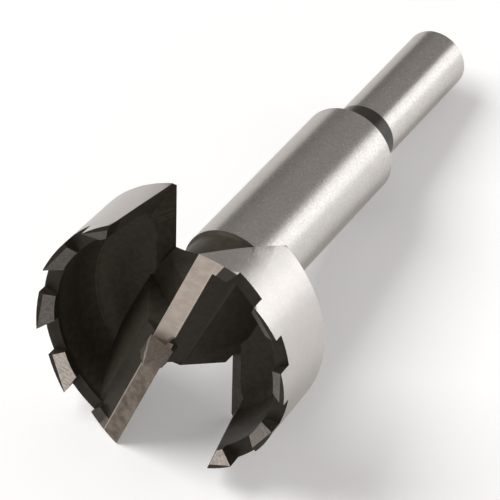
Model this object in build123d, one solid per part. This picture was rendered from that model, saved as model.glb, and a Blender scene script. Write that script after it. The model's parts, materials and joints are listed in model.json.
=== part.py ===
from build123d import *
from math import asin, atan2, cos, degrees, pi, radians, sin, tan
import os

# Saw-tooth forstner bit, one piece of turned, milled and ground steel, in millimetres.
# It is drawn along its own axis, with the head's back face on z = 0, the centre point toward +Z
# and one cutting lip toward +X, and is laid down as it rests at the end.

# Turned body
head_diameter = 40.0          # over the tooth tips, the size of the hole it cuts
head_back_diameter = 39.3     # the head tapers a little toward its back, so it doesn't bind
head_height = 14.0            # back face to tooth tips
head_back_edge = 0.6          # chamfer round the head's back
neck_diameter = 14.0          # waist between head and collar
neck_length = 7.4             # head's back face to collar
neck_fillet = 1.6             # where the neck runs into the head
collar_diameter = 15.0
collar_length = 38.1
collar_edge = 0.5
shank_diameter = 10.0
shank_length = 30.8           # beyond the collar
shank_edge = 0.7

# Centre point: a square ground pyramid on a short square post
point_height = 4.1            # above the tooth tips
point_base = 3.95             # across the square of the pyramid's base
point_turn = 6.0              # degrees from the +X axis to a flat of the post

# Cutting lips
lip_turn = 10.0               # degrees from the +X axis to the cutting edge
lip_offset = 1.6              # cutting edge ahead of the axis
lip_rake = 30.2               # degrees that the rake face leans back
lip_relief = 15.5             # degrees that the land falls behind the edge
lip_land = 2.85               # width of the ground land
land_back = 38.0              # degrees of the short slope behind the land
web_foot = 8.45               # from the axis to the foot of the web, on the pocket floor
web_slope = 64.0              # degrees of the web's long back slope
web_turn = 8.5                # degrees from the +X axis to the web's foot

# Throats, where the chips leave through the head
throat_depth = 7.4            # from the axis to the bottom of a throat
throat_turn = 29.2            # degrees from the +X axis to the throat's middle
step_depth = 2.3              # from the axis to the end of the upper step
step_height = 6.5             # the step above the head's back face
throat_side = 4.75            # from the axis to the line of the trailing floor edge
throat_side_turn = 33.6       # degrees of that line
ramp_slope = 37.0             # degrees of the ramp down to that line
ramp_side = 8.3               # from the axis to the wall beside the ramp
hub_foot = 8.1                # from the axis to the foot of the hub's slope
hub_slope = 42.5              # degrees of that slope

# Wings: a floor and a thin rim wall with saw teeth
rim_wall = 2.3
floor_thickness = 1.7
pocket_corner = 5.0           # radius between the wall and the floor
wing_end = 11.75              # from the axis to the rim's trailing face, at the back
wing_end_turn = 11.3          # degrees of that face, seen from the front
wing_end_flare = 10.9         # degrees that it leans away from the throat
tooth_count = 4               # on each wing, beside the lip's own corner
tooth_pitch = 31.0            # degrees
gullet_width = 4.8
gullet_depth = 2.45
tooth_skew = 22.0             # degrees that a tooth's front is turned back from the radius
back_skew = 8.0               # degrees that a tooth's back is turned forward from the radius
first_tooth = 16.0            # degrees from the +X axis back to the first tooth's tip
tooth_relief = 9.0            # degrees that a tooth's top falls behind its tip
bevel_inset = 0.1             # from a tooth's outer tip to its ground bevel
bevel_relief = -1.0           # the ground bevel's own fall behind the tip: it rises a little
bevel_slope = 34.0            # degrees that the ground bevel falls inward

tip_z = head_height
outside = head_diameter       # safely beyond the head's radius
tall = 2 * (head_height + point_height)


def heading(angle):
    """A unit vector in the plane of the head, at an angle from +X."""
    return Vector(cos(radians(angle)), sin(radians(angle)), 0)


def block():
    """A block that holds the whole head, for the cutters to be split from."""
    return Pos(0, 0, tall / 2 - 1) * Box(4 * outside, 4 * outside, tall)


def beyond(solid, point, normal):
    """The part of a solid that lies beyond a plane, on the side that its normal points to."""
    return split(solid, bisect_by=Plane(origin=point, z_dir=normal), keep=Keep.TOP)


def turned_blank():
    """Head, neck, collar and shank, turned in one."""
    neck = neck_diameter / 2
    collar = collar_diameter / 2
    shank = shank_diameter / 2
    collar_z = -neck_length
    shank_z = collar_z - collar_length
    end_z = shank_z - shank_length
    with BuildSketch(Plane.XZ) as profile:
        with BuildLine():
            Polyline(
                (0, end_z), (shank - shank_edge, end_z), (shank, end_z + shank_edge), (shank, shank_z),
                (collar - collar_edge, shank_z), (collar, shank_z + collar_edge), (collar, collar_z),
                (neck, collar_z + collar - neck), (neck, 0), (head_back_diameter / 2 - head_back_edge, 0),
                (head_back_diameter / 2, head_back_edge), (head_diameter / 2, tip_z), (0, tip_z), (0, end_z),
            )
        make_face()
        corner = profile.vertices().sort_by_distance(Vertex(neck, 0, 0))[0]
        fillet(corner, neck_fillet)
    return revolve(profile.sketch, Axis.Z)


def rake_side(solid):
    """The part of a solid ahead of the lip's rake face."""
    ahead = heading(lip_turn + 90)
    lean = radians(lip_rake)
    normal = ahead * cos(lean) - Vector(0, 0, 1) * sin(lean)
    return beyond(solid, ahead * lip_offset + Vector(0, 0, tip_z), normal)


def over_slope(solid, turn, distance, height, slope):
    """The part of a solid above a slope that falls ahead of the axis, through a level line."""
    ahead = heading(turn + 90)
    lean = radians(slope)
    normal = ahead * sin(lean) + Vector(0, 0, 1) * cos(lean)
    return beyond(solid, ahead * distance + Vector(0, 0, height), normal)


def wing_bowl():
    """The round space inside the rim wall, above the floor, with a rounded corner."""
    radius = head_diameter / 2 - rim_wall
    bowl = Pos(0, 0, floor_thickness) * Cylinder(radius, tall, align=(Align.CENTER, Align.CENTER, Align.MIN))
    rim = bowl.edges().filter_by(GeomType.CIRCLE).sort_by(Axis.Z)[0]
    return fillet(rim, pocket_corner)


def throat():
    """The full depth of a throat, the step that runs in to the centre post, and the slope below it."""
    out = heading(throat_turn)
    deep = beyond(rake_side(block()), out * throat_depth, out)
    side = heading(throat_side_turn + 90)
    deep = beyond(deep, side * throat_side, -side)
    step = beyond(rake_side(block()), out * step_depth, out)
    step = beyond(step, Vector(0, 0, step_height), Vector(0, 0, 1))
    end = heading(wing_end_turn + 90)
    flare = radians(wing_end_flare)
    step = beyond(step, end * wing_end, -end * cos(flare) + Vector(0, 0, 1) * sin(flare))
    hub = beyond(rake_side(wing_bowl()), out * step_depth, out)
    hub = over_slope(hub, web_turn, hub_foot, floor_thickness, hub_slope)
    return [deep, step, hub]


def ramp():
    """The ramp down to the floor's trailing edge, with the trailing face of the rim above it."""
    side = heading(throat_side_turn + 90)
    lean = radians(ramp_slope)
    cut = beyond(rake_side(block()), side * throat_side, Vector(0, 0, 1) * cos(lean) - side * sin(lean))
    end = heading(wing_end_turn + 90)
    flare = radians(wing_end_flare)
    cut = beyond(cut, end * wing_end, -end * cos(flare) + Vector(0, 0, 1) * sin(flare))
    cut = beyond(cut, Vector(0, ramp_side, 0), Vector(0, 1, 0))
    return beyond(cut, Vector(0, 0, 0), heading(throat_turn))


def pockets():
    """The hollow of a wing: inside the rim wall, above its floor and behind the lip and its web."""
    land_z = tip_z - lip_land * tan(radians(lip_relief))
    behind_land = over_slope(wing_bowl(), lip_turn, lip_land - lip_offset, land_z, land_back)
    over_web = over_slope(wing_bowl(), web_turn, web_foot, floor_thickness, web_slope)
    away = heading(throat_turn + 180)
    cuts = []
    for hollow in (behind_land, over_web):
        cuts.append(rake_side(hollow))
        cuts.append(beyond(hollow, away * step_depth, away))
    return cuts


def lip_land_cut():
    """The relief behind the cutting edge, over the lip and its corner of the rim."""
    back = heading(lip_turn - 90)
    lean = radians(lip_relief)
    normal = Vector(0, 0, 1) * cos(lean) + back * sin(lean)
    cut = beyond(block(), heading(lip_turn + 90) * lip_offset + Vector(0, 0, tip_z), normal)
    cut = beyond(cut, heading(lip_turn) * 1.0, heading(lip_turn))
    gullet_middle = degrees(asin(gullet_width / head_diameter)) - first_tooth
    return beyond(cut, Vector(0, 0, tip_z), heading(gullet_middle + 90))


def gullets():
    """Notches milled into the rim, one ahead of each tooth, wider at the inside."""
    cuts = []
    width = degrees(2 * asin(gullet_width / head_diameter))
    block_up = Pos(0, 0, tip_z - gullet_depth + tall / 2) * Box(4 * outside, 4 * outside, tall)
    for number in range(tooth_count):
        tooth = -first_tooth - number * tooth_pitch
        front = beyond(block_up, heading(tooth) * (head_diameter / 2), heading(tooth + 90 + tooth_skew))
        ahead = tooth + width
        notch = beyond(front, heading(ahead) * (head_diameter / 2), heading(ahead - 90 - back_skew))
        inner = heading(tooth + width / 2)
        cuts.append(beyond(notch, inner * (head_diameter / 2 - 1.25 * rim_wall), inner))
    return cuts


def tooth_tops():
    """Relief and ground bevel on each tooth, both falling away from its outer tip."""
    cuts = []
    span = radians(tooth_pitch) * head_diameter / 2 - gullet_width
    for number in range(tooth_count):
        angle = -first_tooth - number * tooth_pitch
        tip = heading(angle) * (head_diameter / 2) + Vector(0, 0, tip_z)
        back, inward = heading(angle - 90), heading(angle + 180)
        cap = Pos(tip) * Rot(0, 0, angle) * Pos(-rim_wall, -span / 2, 0) * Box(
            4 * rim_wall, span + 2 * gullet_width / 3, 2 * gullet_depth
        )
        for inset, along, across in ((0, tooth_relief, 0), (bevel_inset, bevel_relief, bevel_slope)):
            fall = back * tan(radians(along)) + inward * tan(radians(across))
            cuts.append(beyond(cap, tip + inward * inset, (Vector(0, 0, 1) + fall).normalized()))
    return cuts


def centre_point():
    """The post in the middle and the pyramid ground on it."""
    post = Pos(0, 0, tip_z / 2) * Box(point_base, point_base, tip_z)
    base = Pos(0, 0, tip_z) * Rectangle(point_base, point_base)
    apex = Pos(0, 0, tip_z + point_height) * Rectangle(point_base / 100, point_base / 100)
    return Rot(0, 0, point_turn) * (post + loft([base, apex]))


def forstner_bit():
    """The whole bit along its own axis."""
    body = turned_blank()
    cuts = [*throat(), ramp(), *pockets(), lip_land_cut(), *gullets(), *tooth_tops()]
    for turn in (0, 180):
        for cut in cuts:
            body -= Rot(0, 0, turn) * cut
    return body + centre_point()


def upward(points, down, rim_radius, rim_z):
    """The upward direction when a side is down and both the head and the shank's end touch the floor."""
    side = heading(down)
    tilt = max(atan2(point.dot(side) - rim_radius, point.Z - rim_z) for point in points)
    return Vector(0, 0, 1) * cos(pi / 2 - tilt) - side * cos(tilt)


def laid_down(bit):
    """The bit as it comes to rest on one throat, on the floor z = 0, with its tip toward +X."""
    rim_radius = shank_diameter / 2
    rim_z = shank_edge - neck_length - collar_length - shank_length
    samples = [edge @ (step / 8) for edge in bit.edges() for step in range(9)]
    points = [point for point in samples if point.Z > 0 and point.dot(heading(throat_turn)) < 0]
    centre = bit.center(CenterOf.MASS)

    def centre_height(down):
        rim = heading(down) * rim_radius + Vector(0, 0, rim_z)
        return (centre - rim).dot(upward(points, down, rim_radius, rim_z))

    down = throat_turn + 180
    for step in (3, 0.5, 0.1, 0.02, 0.005, 0.001):
        down = min((down + step * count for count in range(-6, 7)), key=centre_height)
    up = upward(points, down, rim_radius, rim_z)
    rim = heading(down) * rim_radius + Vector(0, 0, rim_z)
    floor = Plane(origin=rim, x_dir=Vector(0, 0, 1) - up * up.Z, z_dir=up)
    lying = floor.to_local_coords(bit)
    box = lying.bounding_box()
    return Pos(-box.center().X, -box.center().Y, 0) * lying


if __name__ == "__main__":
    bit = laid_down(forstner_bit())
    os.makedirs("parts", exist_ok=True)
    export_step(bit, "parts/forstner_bit.step")
    print("solids", len(bit.solids()), "volume", round(bit.volume, 1), "box", bit.bounding_box())
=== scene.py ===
import json
from math import cos, hypot, pi, radians, sin, tan

import bmesh
import bpy
from mathutils import Matrix, Vector


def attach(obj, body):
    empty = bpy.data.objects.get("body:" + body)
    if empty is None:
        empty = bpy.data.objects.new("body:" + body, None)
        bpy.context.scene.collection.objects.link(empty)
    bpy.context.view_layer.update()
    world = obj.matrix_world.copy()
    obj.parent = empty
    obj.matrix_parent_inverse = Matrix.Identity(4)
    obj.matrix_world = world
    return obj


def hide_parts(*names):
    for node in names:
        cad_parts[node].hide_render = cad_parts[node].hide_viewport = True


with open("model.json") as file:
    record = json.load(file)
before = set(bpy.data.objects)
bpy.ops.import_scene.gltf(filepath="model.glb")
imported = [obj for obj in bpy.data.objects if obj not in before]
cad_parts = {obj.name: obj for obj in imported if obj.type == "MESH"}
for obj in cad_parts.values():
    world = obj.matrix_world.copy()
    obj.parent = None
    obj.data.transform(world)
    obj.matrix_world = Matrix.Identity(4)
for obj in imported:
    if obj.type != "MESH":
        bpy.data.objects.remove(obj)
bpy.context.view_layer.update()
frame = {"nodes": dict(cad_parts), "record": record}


# --- Forstner bit ---
# One piece of tool steel, turned, milled and blackened all over, and then ground bright where it
# has to run true or cut: shank, collar, the head's outside, the lips, the teeth and the point.
# Its edges are broken by a hair. It lies on one throat, so its axis rises a little to the head.

# The shank's mount in the record gives the bit's axis. Everything on the bit is placed in
# millimetres from the head's back face along that axis, and round it from the first lip's side.
MM = 0.001
shank_mount = frame["record"]["mounts"][0]
toward_tip = -Vector(shank_mount["axis"]).normalized()
shank_middle = Vector(shank_mount["pos_m"])
shank_length = shank_mount["dims"]["length_mm"] / 1000
neck_and_collar = 45.5 * MM          # from the head's back face to the shank's start
lip_to_down = radians(202.586)       # from the first lip's side round to the side that is down

head_back = shank_middle + toward_tip * (neck_and_collar + shank_length / 2)
down = (Vector((0, 0, -1)) - toward_tip * -toward_tip.z).normalized()
first_lip = down * cos(lip_to_down) - toward_tip.cross(down) * sin(lip_to_down)
beside_lip = toward_tip.cross(first_lip)
lying = Matrix((first_lip, beside_lip, toward_tip)).transposed().to_4x4()
lying.translation = head_back

# How the lips' lands and the teeth's bevels are ground, in degrees. The bit's two halves are alike.
lip_turn = 10.0
lip_relief = 15.5
tooth_turns = (-16.0, -47.0, -78.0, -109.0)
bevel_relief = -1.0
bevel_slope = 34.0


def heading(turn):
    """A direction across the bit, in degrees from the first lip's side."""
    return Vector((cos(radians(turn)), sin(radians(turn)), 0))


land_normals = []
bevel_normals = []
for half in (0, 180):
    leaning = heading(lip_turn - 90 + half) * sin(radians(lip_relief))
    land_normals.append((leaning + Vector((0, 0, cos(radians(lip_relief))))).normalized())
    for turn in tooth_turns:
        along = heading(turn - 90 + half) * tan(radians(bevel_relief))
        inward = heading(turn + 180 + half) * tan(radians(bevel_slope))
        bevel_normals.append((Vector((0, 0, 1)) + along + inward).normalized())

# Where one finish gives way to the next. The finishes are numbered in the order they are made in.
BLACKENED, GROUND, LAND, BEVEL, POINT = range(5)
neck_front = -7.0                    # from here back there is only neck, collar and shank
shoulder_reach = 6.5                 # the collar's end faces lie outside this, and stay black
shank_end = -75.0
shank_radius = 5.0
head_radius = 20.0
outside_depth = 0.8                  # the head's outside has the middles of its faces within this
back_chamfer = 0.3                   # the chamfer round the head's back, which stays black
tooth_floor = 12.0
point_foot = 12.2
point_reach = 2.9
same_way = 0.9995                    # the cosine of the angle between two normals that agree
faces_along = 0.3                    # how far along the axis the normal of an end face points
faces_out = 0.6                      # how far away from the axis that of a turned side points
faces_straight_out = 0.9


def finish_of(face):
    """The finish of a face, from its place on the bit and the way it faces."""
    middle = face.calc_center_median() / MM
    normal = face.normal
    reach = hypot(middle.x, middle.y)
    outward = (middle.x * normal.x + middle.y * normal.y) / max(reach, 0.01)
    if middle.z < neck_front:
        on_shoulder = reach > shoulder_reach and abs(normal.z) > faces_along
        on_side = outward > faces_out and not on_shoulder
        on_shank_end = middle.z < shank_end and reach < shank_radius
        return GROUND if on_side or on_shank_end else BLACKENED
    on_outside = reach > head_radius - outside_depth and outward > faces_straight_out
    if middle.z > back_chamfer and on_outside:
        return GROUND
    if middle.z > tooth_floor:
        if any(normal.dot(land) > same_way for land in land_normals):
            return LAND
        if any(normal.dot(bevel) > same_way for bevel in bevel_normals):
            return BEVEL
    if middle.z > point_foot and reach < point_reach:
        return POINT
    return BLACKENED


# The CAD's own mesh, with flat faces made whole again and every edge broken.
broken_edge = 0.06 * MM
same_point = 0.002 * MM
sliver = 0.07 * MM
flat = radians(0.3)
edge_angle = radians(17)
sharp_angle = radians(35)

steel = bmesh.new()
steel.from_mesh(frame["nodes"]["forstner_bit"].data)
steel.transform(lying.inverted())
bmesh.ops.remove_doubles(steel, verts=steel.verts, dist=same_point)
bmesh.ops.dissolve_degenerate(steel, edges=steel.edges, dist=sliver)
bmesh.ops.dissolve_limit(steel, angle_limit=flat, verts=steel.verts, edges=steel.edges)
for face in steel.faces:
    face.smooth = True
    face.material_index = finish_of(face)
corners = [edge for edge in steel.edges if edge.calc_face_angle(0) > edge_angle]
bmesh.ops.bevel(
    steel, geom=corners, offset=broken_edge, offset_type="OFFSET", segments=2, profile=0.5,
    affect="EDGES", clamp_overlap=True, material=-1,
)
for edge in steel.edges:
    edge.smooth = edge.calc_face_angle(0) < sharp_angle

# The cutter left a faint ledge round the rounded corner of each pocket. It is a closed strip with
# its section swept round the bit, thin at both ends and sunk a little into the corner.
corner_reach, corner_height = 12.7, 6.7      # the middle of the pocket's rounded corner
ledge_reach, ledge_height = 16.15, 3.09
ledge_start, ledge_end = 94, 159             # degrees from the first lip's side
ledge_stations = 40
ledge_taper = 8                              # it reaches its full size in an eighth of its length
ledge_tip = 0.05                             # its size at its very ends, of the full size
ledge_section = (
    (-0.22, -0.04), (-0.12, 0.03), (0.0, 0.05), (0.12, 0.03), (0.22, -0.04), (0.0, -0.1),
)

rise = Vector((corner_reach - ledge_reach, 0, corner_height - ledge_height)).normalized()
across_ledge = Vector((-rise.z, 0, rise.x))
ledge_faces = []
for half in (0, 180):
    rows = []
    for station in range(ledge_stations + 1):
        part = station / ledge_stations
        turn = ledge_start + (ledge_end - ledge_start) * part + half
        slim = min(1.0, ledge_taper * min(part, 1 - part) + ledge_tip)
        row = []
        for aside, up in ledge_section:
            corner = across_ledge * aside * slim + rise * (up if up < 0 else up * slim)
            upward = Vector((0, 0, ledge_height + corner.z))
            row.append(steel.verts.new((heading(turn) * (ledge_reach + corner.x) + upward) * MM))
        rows.append(row)
    for one, two in zip(rows, rows[1:]):
        for near in range(len(ledge_section)):
            far = (near + 1) % len(ledge_section)
            side = steel.faces.new((one[near], one[far], two[far], two[near]))
            side.smooth = True
            ledge_faces.append(side)
    ledge_faces.append(steel.faces.new(rows[0][::-1]))
    ledge_faces.append(steel.faces.new(rows[-1]))
bmesh.ops.recalc_face_normals(steel, faces=ledge_faces)

steel.transform(lying)
bit_mesh = bpy.data.meshes.new("forstner_bit_steel")
steel.to_mesh(bit_mesh)
steel.free()
bit = bpy.data.objects.new("forstner_bit_steel", bit_mesh)
bpy.context.scene.collection.objects.link(bit)
weighting = bit.modifiers.new("even_normals", "WEIGHTED_NORMAL")
weighting.keep_sharp = True
weighting.weight = 60


class Shade:
    """A socket in a finish's node tree. Sums, differences and products of it add Math nodes."""

    def __init__(self, tree, socket):
        self.tree = tree
        self.socket = socket

    def node(self, kind, settings, inputs, out=0):
        """Any node: its settings first, then its inputs by name or number, as values or links."""
        made = self.tree.nodes.new(kind)
        for name, value in settings.items():
            if name == "stops":
                ramp = made.color_ramp
                ramp.interpolation = "CONSTANT"
                while len(ramp.elements) < len(value):
                    ramp.elements.new(1.0)
                for element, (start, tone) in zip(ramp.elements, value):
                    element.position = start
                    element.color = (tone, tone, tone, 1)
            else:
                setattr(made, name, value)
        for name, value in inputs.items():
            if isinstance(value, Shade):
                self.tree.links.new(value.socket, made.inputs[name])
            else:
                made.inputs[name].default_value = value
        return Shade(self.tree, made.outputs[out])

    def maths(self, operation, *values):
        """A Math node on numbers and shades."""
        return self.node("ShaderNodeMath", {"operation": operation}, dict(enumerate(values)))

    def __add__(self, other):
        return self.maths("ADD", self, other)

    def __radd__(self, other):
        return self.maths("ADD", other, self)

    def __sub__(self, other):
        return self.maths("SUBTRACT", self, other)

    def __rsub__(self, other):
        return self.maths("SUBTRACT", other, self)

    def __mul__(self, other):
        return self.maths("MULTIPLY", self, other)

    def __rmul__(self, other):
        return self.maths("MULTIPLY", other, self)

    def root(self):
        return self.maths("SQRT", self)

    def size(self):
        return self.maths("ABSOLUTE", self)

    def sign(self):
        return self.maths("SIGN", self)

    def either(self, other):
        """1 where either of the two is 1: the greater of the two."""
        return self.maths("MAXIMUM", self, other)

    def between(self, low, high):
        """0 below low, 1 above high, and a soft step from one to the other."""
        return self.node(
            "ShaderNodeMapRange", {"interpolation_type": "SMOOTHSTEP"},
            {"Value": self, "From Min": low, "From Max": high, "To Min": 0.0, "To Max": 1.0},
        )

    def colours(self, low, high):
        """A colour from low at 0 to high at 1, where each is a plain colour or a shade of one."""
        low, high = (end if isinstance(end, Shade) else (*end, 1) for end in (low, high))
        return self.node(
            "ShaderNodeMix", {"data_type": "RGBA", "clamp_factor": False},
            {0: self, 6: low, 7: high}, out=2,
        )

    def bump(self, strength):
        """A normal from this height, in fiftieths of a millimetre."""
        return self.node(
            "ShaderNodeBump", {}, {"Strength": strength, "Distance": 0.02 * MM, "Height": self}
        )


def new_finish(name, constants):
    """The bit's next finish: its shader, and the place on the bit in millimetres."""
    material = bpy.data.materials.new(name)
    material.use_nodes = True
    tree = material.node_tree
    shader = tree.nodes["Principled BSDF"]
    for socket, value in constants.items():
        shader.inputs[socket].default_value = value
    bit_mesh.materials.append(material)
    spot = Shade(tree, tree.nodes.new("ShaderNodeTexCoord").outputs["Object"])
    spot = spot.node("ShaderNodeVectorMath", {"operation": "SUBTRACT"}, {0: spot, 1: head_back})
    return shader, [
        spot.node(
            "ShaderNodeVectorMath", {"operation": "DOT_PRODUCT"}, {0: spot, 1: axis / MM},
            out="Value",
        )
        for axis in (first_lip, beside_lip, toward_tip)
    ]


def feed(shader, shades):
    """Links each shade to the shader's input of that name."""
    for name, shade in shades.items():
        shade.tree.links.new(shade.socket, shader.inputs[name])


def noise(place, per_mm, detail):
    """Noise from 0 to 1, finer along a direction the more of it goes into a millimetre."""
    scaled = [part * fine for part, fine in zip(place, per_mm)]
    vector = scaled[0].node("ShaderNodeCombineXYZ", {}, dict(enumerate(scaled)))
    return vector.node(
        "ShaderNodeTexNoise", {}, {"Vector": vector, "Scale": 1.0, "Detail": detail}
    )


# Blackened: the oxide skin, over milled and turned steel. Three lines that the turning left on the
# ramp are lighter. The ramp and the pocket's ledge are painted lighter as painted highlight, and
# round the rim the oxide is painted darker as painted shade.
shader, place = new_finish(
    "blackened_steel",
    {"Metallic": 0.0, "IOR": 1.33, "Specular Tint": (0.72, 0.615, 0.49, 1)},
)
x, y, z = place
turned_lines = (14.1, 14.55, 15.3)           # their distances from the axis
ledge_middle = 2.5                           # the middle of the heights that carry the ledge's painted highlight

milling = noise(place, (1.1, 1.1, 1.1), 4.0)
grain = noise(place, (9.0, 9.0, 9.0), 2.0)
reach = (x * x + y * y).root()
on_ramp = z.between(0.1, 0.2) * (1 - z.between(1.6, 1.7)) * reach.between(7.0, 9.0)
turned = sum(1 - (reach - line).size().between(0.05, 0.16) for line in turned_lines) * on_ramp
off_ledge = (z - ledge_middle).size().between(0.85, 1.0)
ledge = reach.between(14.0, 16.0) * (1 - reach.between(16.1, 16.4)) * (1 - off_ledge)
# Darker round the rim: painted shade on the gullet floors.
rim_painted_shade = z.between(10.5, 11.4)
mottle = (milling * 0.7 + grain * 0.3).between(0.3, 0.7) * 0.45 + 0.78
# The lift on the ramp and on the ledge is painted highlight, and the darkening round the rim is
# painted shade.
oxide_and_painted_light = mottle * (1.35 + on_ramp * 0.15 + turned * 0.7 + ledge * 0.7 - rim_painted_shade * 0.75)
feed(shader, {
    "Base Color": (oxide_and_painted_light * 0.5).colours((0.0, 0.0, 0.0), (0.072, 0.0615, 0.0485)),
    "Roughness": grain * 0.16 + 0.42,
    "Normal": (grain * 0.15 + turned).bump(0.6),
})

# Ground round the axis: fine rings, specks and faint clouds, coarser on the collar and the shank
# than on the head. The shank's first five millimetres, behind the collar, were left black.
shader, place = new_finish("ground_steel", {"Specular Tint": (0.82, 0.80, 0.78, 1)})
x, y, z = place
oxide_black = (0.022, 0.019, 0.016)
band_back, band_front = -50.7, -45.5

rings = noise(place, (1.6, 1.6, 9.0), 2.0)
specks = noise(place, (3.2, 3.2, 3.2), 2.0)
clouds = noise(place, (0.5, 0.5, 0.5), 3.0)
before_collar = 1 - z.between(band_front - 0.1, band_front)
left_black = z.between(band_back, band_back + 0.15) * before_collar
coarse = 1 - z.between(-7.0, -5.0) * 0.5
tone = ((rings * 0.15 + specks * 0.65 + clouds * 0.2) - 0.5) * coarse + 0.5
bright_steel = tone.between(0.3, 0.7).colours((0.479, 0.458, 0.442), (0.594, 0.576, 0.562))
feed(shader, {
    "Base Color": left_black.colours(bright_steel, oxide_black),
    "Metallic": 1 - left_black,
    "Roughness": specks * 0.10 + 0.2,
    "Normal": ((rings * 0.3 + specks * 0.7) * coarse).bump(0.45),
})

# The lips' lands: ground across the lip and smudged, with a painted highlight along the back edge.
# The second one is painted darker as painted shade. The outer corner of each is still black.
shader, place = new_finish("ground_land", {"Specular Tint": (0.80, 0.66, 0.54, 1)})
x, y, z = place
highlight_line = 1.15                           # how far the painted edge highlight is behind the bit's axis
corner_out, corner_front = 17.6, 1.3         # the corner lies outside the one and behind the other
corner_blur = 0.05

along = x * cos(radians(lip_turn)) + y * sin(radians(lip_turn))
across = y * cos(radians(lip_turn)) - x * sin(radians(lip_turn))
strokes = noise((along, across, z), (9.0, 0.8, 0.8), 3.0)
smudges = noise(place, (0.6, 0.6, 0.6), 2.5)
outside = x.size().between(corner_out - corner_blur, corner_out + corner_blur)
ahead = (y * x.sign()).between(corner_front - corner_blur, corner_front + corner_blur)
corner = outside * (1 - ahead)
wear = (strokes * 0.35 + smudges * 0.65).between(0.3, 0.7)
# A painted highlight: a thin bright line along each land's back edge.
land_edge_highlight = 1 - (across * x.sign() + highlight_line).size().between(0.04, 0.14)
first_land = (wear + land_edge_highlight * 0.5).colours((0.38, 0.322, 0.28), (0.48, 0.425, 0.38))
# The second land is a darker copy of the first: painted shade.
second_land_shaded = (wear + land_edge_highlight * 1.5).colours((0.105, 0.089, 0.076), (0.235, 0.202, 0.175))
land_steel = x.between(-1.0, 1.0).colours(second_land_shaded, first_land)
feed(shader, {
    "Base Color": corner.colours(land_steel, oxide_black),
    "Metallic": 1 - corner,
    "Roughness": strokes * 0.12 + 0.36,
    "Normal": strokes.bump(0.2),
})

# The teeth's bevels: each is painted a shade of its own, a painted reflection of what that tooth
# faces.
shader, place = new_finish("ground_bevel", {"Metallic": 1.0})
x, y, z = place
painted_reflections = (                                    # where each tooth starts, in turns, and the shade of its painted reflection
    (0.0, 0.92), (0.218, 0.36), (0.304, 0.28), (0.390, 0.20),
    (0.5, 0.19), (0.718, 0.17), (0.804, 0.23), (0.890, 0.82),
)

strokes = noise(place, (5.0, 1.4, 2.0), 3.0)
turns_round = x.maths("ARCTAN2", y, x) * (0.5 / pi) + 0.5
# Each tooth's tone is a painted reflection, one step per tooth.
reflected_tone = x.node("ShaderNodeValToRGB", {"stops": painted_reflections}, {0: turns_round})
streaks = strokes.between(0.3, 0.7) * 0.5 + 0.72
feed(shader, {
    "Base Color": (reflected_tone * streaks).colours((0.0, 0.0, 0.0), (0.63, 0.565, 0.51)),
    "Roughness": strokes * 0.16 + 0.36,
    "Normal": strokes.bump(0.3),
})

# The centre point: dull from the grinding wheel, with a painted highlight along one edge of its
# front.
shader, place = new_finish("ground_point", {"Metallic": 1.0})
x, y, z = place
point_tip = 18.1
face_lean, face_front, face_side = 0.43, 0.9, 0.09   # the parts of its front face's normal
bright_width, bright_blur = 1.0, 0.15

strokes = noise(place, (3.0, 3.0, 8.0), 3.0)
fall = (point_tip - z) * face_lean
front = x * face_front + y * face_side
flank = y * face_front - x * face_side
off_edge = fall - front
on_flank = front.between(0.0, 0.05) * (1 - (fall - flank).between(0.03, 0.08))
past_edge = off_edge.between(bright_width - bright_blur, bright_width + bright_blur)
# A painted highlight along one edge of the point's front face.
point_edge_highlight = on_flank * off_edge.between(0.0, 0.04) * (1 - past_edge)
grind_and_highlight = strokes.between(0.3, 0.7) + point_edge_highlight * (strokes * 5.0 + 1.6)
feed(shader, {
    "Base Color": grind_and_highlight.colours((0.18, 0.152, 0.128), (0.27, 0.235, 0.202)),
    "Roughness": strokes * 0.1 + 0.44,
    "Normal": strokes.bump(0.2),
})

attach(bit, "root")
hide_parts("forstner_bit")


# --- Floor ---
# A plain pale table top. The camera and the bright steel see it as white, with the soft shadow of
# the bit on it.

floor_half = 6
floor_glow = 0.22

floor_mesh = bpy.data.meshes.new("floor")
floor_corners = [
    (-floor_half, -floor_half, 0), (floor_half, -floor_half, 0),
    (floor_half, floor_half, 0), (-floor_half, floor_half, 0),
]
floor_mesh.from_pydata(floor_corners, [], [(0, 1, 2, 3)])
floor = bpy.data.objects.new("floor", floor_mesh)
bpy.context.scene.collection.objects.link(floor)
pale = bpy.data.materials.new("pale_floor")
pale.use_nodes = True
tree = pale.node_tree
shader = tree.nodes["Principled BSDF"]
shader.inputs["Base Color"].default_value = (0.86, 0.86, 0.86, 1)
shader.inputs["Roughness"].default_value = 0.3
shader.inputs["Specular IOR Level"].default_value = 0.25
shader.inputs["Emission Color"].default_value = (1, 1, 1, 1)
rays = tree.nodes.new("ShaderNodeLightPath")
camera_ray, glossy_ray, transmission_ray = (
    Shade(tree, rays.outputs[name])
    for name in ("Is Camera Ray", "Is Glossy Ray", "Is Transmission Ray")
)
seen = camera_ray.either(glossy_ray).either(transmission_ray)
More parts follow.
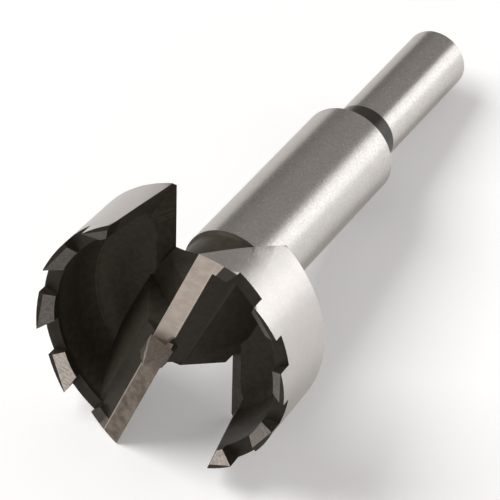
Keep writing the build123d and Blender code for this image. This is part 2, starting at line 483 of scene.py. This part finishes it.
feed(shader, {"Emission Strength": seen * floor_glow})
floor_mesh.materials.append(pale)


# --- Studio light ---
# Three soft boxes in a dim room: a large one high on the camera's left, a low one at the right
# rear, and a small low one beside the camera. The room is a little darker toward the horizon.

bit_height = 0.02                    # the height of the bit's middle over the floor


def soft_box(name, azimuth, elevation, distance, width, height, radiance):
    """A soft box that faces the bit, in degrees and metres, with the radiance of its front."""
    lamp = bpy.data.lights.new(name, "AREA")
    lamp.shape = "RECTANGLE"
    lamp.size = width
    lamp.size_y = height
    lamp.energy = radiance * pi * width * height
    box = bpy.data.objects.new(name, lamp)
    level = heading(azimuth) * cos(radians(elevation))
    away = level + Vector((0, 0, sin(radians(elevation))))
    box.location = away * distance + Vector((0, 0, bit_height))
    box.rotation_euler = away.to_track_quat("Z", "Y").to_euler()
    box.visible_camera = False
    bpy.context.scene.collection.objects.link(box)


soft_box("rear_box", 146, 11.5, 1.0, 0.55, 0.42, 1.78)
soft_box("top_box", -74, 48, 3.0, 1.9, 1.6, 7.7)
soft_box("front_box", 25, 17, 1.4, 0.6, 0.45, 1.6)

room_low, room_high = (0.215, 0.199, 0.185), (0.385, 0.366, 0.35)
world = bpy.data.worlds.new("room")
world.use_nodes = True
tree = world.node_tree
outward = Shade(tree, tree.nodes.new("ShaderNodeTexCoord").outputs["Generated"])
height = outward.node("ShaderNodeSeparateXYZ", {}, {0: outward}, out="Z")
feed(tree.nodes["Background"], {"Color": height.between(0.05, 0.6).colours(room_low, room_high)})
bpy.context.scene.world = world


# --- Camera ---
# The photograph is taken from ahead of the point and from above, a little over half a metre from
# the bit, with a long lens.

camera = bpy.data.objects.new("camera", bpy.data.cameras.new("camera"))
camera.location = (0.361808, 0.147833, 0.433928)
camera.rotation_euler = (0.726631, -0.108053, 2.095199)
camera.data.sensor_width = 36
camera.data.lens = 277.737
camera.data.clip_start = 0.01
bpy.context.scene.collection.objects.link(camera)
bpy.context.scene.camera = camera
bpy.context.scene.view_settings.view_transform = "Standard"
